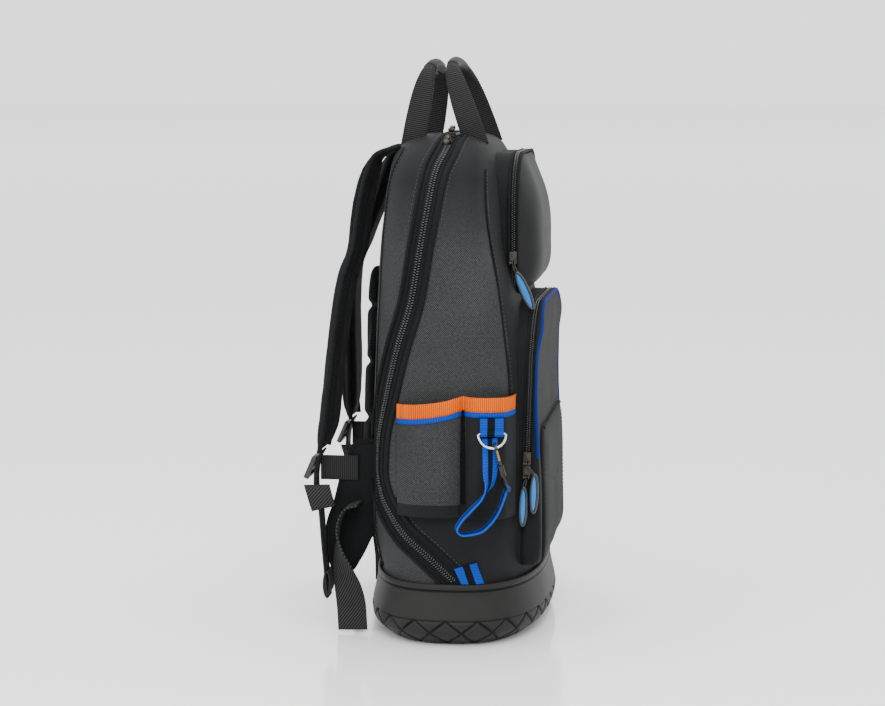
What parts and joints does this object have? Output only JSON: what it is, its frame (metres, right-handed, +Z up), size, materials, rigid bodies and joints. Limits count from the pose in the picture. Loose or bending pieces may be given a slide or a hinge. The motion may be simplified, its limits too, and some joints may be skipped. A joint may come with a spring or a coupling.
{
  "type": "tool backpack",
  "caption": "Tall tool backpack on a moulded rubber tub, with zipped body and front pockets, side pockets, padded straps, carry handles and a clipped tool tether",
  "frame": {"origin": "centre of the flat underside of the moulded tub", "axes": "+Z up, -Y the front with the zipped pockets, +Y the wearer's back, -X the wearer's left"},
  "size_m": [0.3761, 0.2515, 0.5793],
  "materials": {
    "rubber": "satin moulded rubber",
    "fabric": "woven coated nylon",
    "shell": "moulded foam under smooth cloth",
    "webbing": "woven webbing",
    "mesh": "spacer mesh over foam",
    "coil": "moulded coil on woven tape",
    "orange": "ribbed binding",
    "blue": "woven tape",
    "tag": "moulded",
    "steel": "bright plated wire",
    "dark_steel": "dark plated",
    "nylon": "moulded"
  },
  "bodies": {
    "pack": {"base_tub": "rubber", "back_shell": "fabric", "front_shell": "fabric", "main_zipper": "coil", "upper_pocket_gusset": "fabric", "upper_pocket_zipper": "coil", "upper_pocket_shell": "shell", "upper_pocket_slider": "dark_steel", "lower_pocket_gusset": "fabric", "lower_pocket_zipper": "coil", "lower_pocket_panel": "fabric", "lower_pocket_piping": "blue", "lower_pocket_slider_a": "dark_steel", "lower_pocket_slider_b": "dark_steel", "main_zip_slider_a": "dark_steel", "main_zip_slider_b": "dark_steel", "front_patch_pocket": "fabric", "side_pocket_l": "fabric", "side_pocket_r": "fabric", "pocket_binding_l": "orange", "pocket_binding_r": "orange", "pocket_trim_l": "blue", "pocket_trim_r": "blue", "back_pad": "mesh", "shoulder_strap_l": "mesh", "shoulder_strap_r": "mesh", "strap_webbing_l": "webbing", "strap_webbing_r": "webbing", "ladder_lock_l": "nylon", "ladder_lock_r": "nylon", "hip_wing_l": "fabric", "hip_wing_r": "fabric", "anchor_webbing_l": "webbing", "anchor_webbing_r": "webbing", "waist_webbing_l": "webbing", "waist_webbing_r": "webbing", "handle_back": "webbing", "handle_front": "webbing", "tether_tab": "blue", "d_ring": "steel", "snap_hook": "dark_steel", "tether_strap": "blue", "base_tab": "blue"},
    "upper_pocket_pull": {"upper_pocket_pull": "tag"},
    "lower_pocket_pull_a": {"lower_pocket_pull_a": "tag"},
    "lower_pocket_pull_b": {"lower_pocket_pull_b": "tag"},
    "main_zip_pull_a": {"main_zip_pull_a": "dark_steel"},
    "main_zip_pull_b": {"main_zip_pull_b": "dark_steel"},
    "hook_gate": {"hook_gate": "dark_steel"}
  },
  "joints": [
    {"name": "upper_pull_swing", "type": "hinge", "parent": "pack", "child": "upper_pocket_pull", "pos_m": [-0.10425, -0.0585, 0.37588], "axis": [0, 1, 0], "range_deg": [0, 110]},
    {"name": "lower_pull_a_swing", "type": "hinge", "parent": "pack", "child": "lower_pocket_pull_a", "pos_m": [-0.13625, -0.07643, 0.1799], "axis": [0, 0.9996, 0.03], "range_deg": [0, 110]},
    {"name": "lower_pull_b_swing", "type": "hinge", "parent": "pack", "child": "lower_pocket_pull_b", "pos_m": [-0.13625, -0.07603, 0.1664], "axis": [0, 0.9996, 0.03], "range_deg": [0, 110]},
    {"name": "main_pull_a_swing", "type": "hinge", "parent": "pack", "child": "main_zip_pull_a", "pos_m": [-0.11038, 0.00537, 0.49938], "axis": [0, 1, 0], "range_deg": [0, 90]},
    {"name": "main_pull_b_swing", "type": "hinge", "parent": "pack", "child": "main_zip_pull_b", "pos_m": [-0.08494, 0.0047, 0.50677], "axis": [0, -1, 0], "range_deg": [0, 90]},
    {"name": "hook_gate_hinge", "type": "hinge", "parent": "pack", "child": "hook_gate", "pos_m": [-0.18564, -0.05505, 0.19136], "axis": [-0.232, 0.9381, -0.2571], "range_deg": [0, 15], "stiffness_Nm_per_rad": 0.002}
  ]
}
